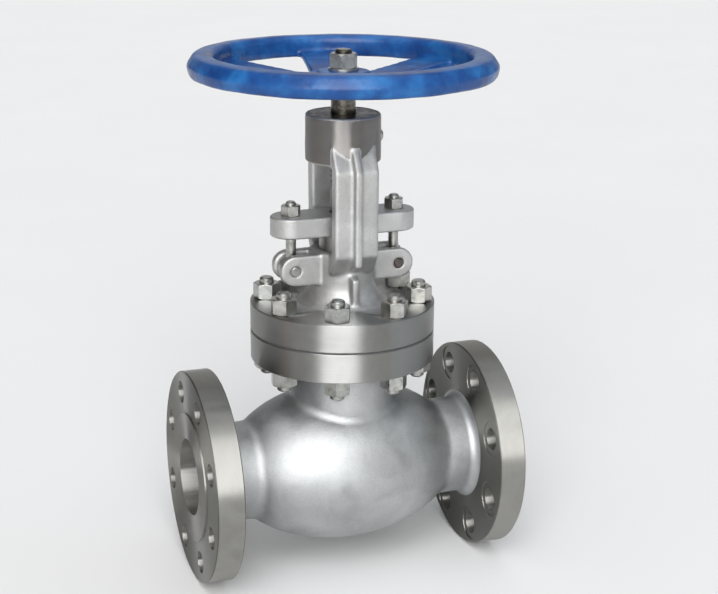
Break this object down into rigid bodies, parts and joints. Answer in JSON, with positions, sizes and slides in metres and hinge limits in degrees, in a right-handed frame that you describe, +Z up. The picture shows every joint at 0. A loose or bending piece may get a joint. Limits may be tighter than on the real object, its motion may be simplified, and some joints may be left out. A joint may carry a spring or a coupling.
{
  "type": "globe valve",
  "caption": "Flanged globe valve with bolted bonnet, outside screw and yoke, gland bolted by eyebolts, and a spoked rising handwheel on the stem.",
  "frame": {"origin": "centre of the inlet raised face, on the pipe axis", "axes": "+X along the pipe from inlet to outlet, +Z up along the stem, +Y away from the viewer who sees the inlet on the left"},
  "size_m": [0.318, 0.2964, 0.5205],
  "materials": {
    "body_casting": "blasted cast stainless steel, flange rims turned bright",
    "bonnet_casting": "blasted cast stainless steel, flange rim turned bright",
    "trim_steel": "turned and lapped",
    "stem_steel": "turned, oiled dark",
    "gasket_sheet": "graphite faced sheet",
    "packing_graphite": "braided graphite",
    "fastener_steel": "rolled thread, light oil",
    "gland_steel": "turned",
    "gland_casting": "blasted cast stainless steel",
    "yoke_nut_bronze": "turned bronze, darkened with grease",
    "wheel_enamel": "glossy blue enamel on a rough casting"
  },
  "bodies": {
    "pressure_body": {"valve_body": "body_casting", "seat_ring": "trim_steel", "bonnet": "bonnet_casting", "bonnet_gasket": "gasket_sheet", "bonnet_studs": "fastener_steel", "bonnet_nuts_upper": "fastener_steel", "bonnet_nuts_lower": "fastener_steel", "backseat_bushing": "trim_steel", "packing_washer": "trim_steel", "packing_rings": "packing_graphite", "eyebolt_left": "fastener_steel", "eyebolt_right": "fastener_steel", "eyebolt_pin_left": "fastener_steel", "eyebolt_pin_right": "fastener_steel", "yoke_nut": "yoke_nut_bronze", "yoke_set_screw": "fastener_steel"},
    "disc_carrier": {"disc": "trim_steel", "disc_nut": "trim_steel"},
    "stem_and_wheel": {"stem": "stem_steel", "handwheel": "wheel_enamel", "handwheel_washer": "fastener_steel", "handwheel_nut": "fastener_steel"},
    "gland_assembly": {"gland": "gland_steel", "gland_flange": "gland_casting"},
    "left_gland_nut": {"gland_nut_left": "fastener_steel"},
    "right_gland_nut": {"gland_nut_right": "fastener_steel"}
  },
  "joints": [
    {"name": "stem_lift", "type": "slide", "parent": "pressure_body", "child": "disc_carrier", "axis": [0, 0, 1], "range_m": [0, 0.025]},
    {"name": "handwheel_turn", "type": "hinge", "parent": "disc_carrier", "child": "stem_and_wheel", "pos_m": [0.159, 0, 0], "axis": [0, 0, 1], "range_deg": [0, 1800]},
    {"name": "gland_travel", "type": "slide", "parent": "pressure_body", "child": "gland_assembly", "axis": [0, 0, 1], "range_m": [-0.004, 0], "deforming": ["packing_rings"]},
    {"name": "left_gland_nut_turn", "type": "hinge", "parent": "gland_assembly", "child": "left_gland_nut", "pos_m": [0.106, 0, 0.2628], "axis": [0, 0, 1], "range_deg": [-960, 0]},
    {"name": "right_gland_nut_turn", "type": "hinge", "parent": "gland_assembly", "child": "right_gland_nut", "pos_m": [0.212, 0, 0.2628], "axis": [0, 0, 1], "range_deg": [-960, 0]}
  ],
  "couplings": [
    {"joint": "stem_lift", "follows": "handwheel_turn", "m_per_rad": 0.00079577},
    {"joint": "left_gland_nut_turn", "follows": "gland_travel", "rad_per_m": 4188.8},
    {"joint": "right_gland_nut_turn", "follows": "gland_travel", "rad_per_m": 4188.8}
  ]
}
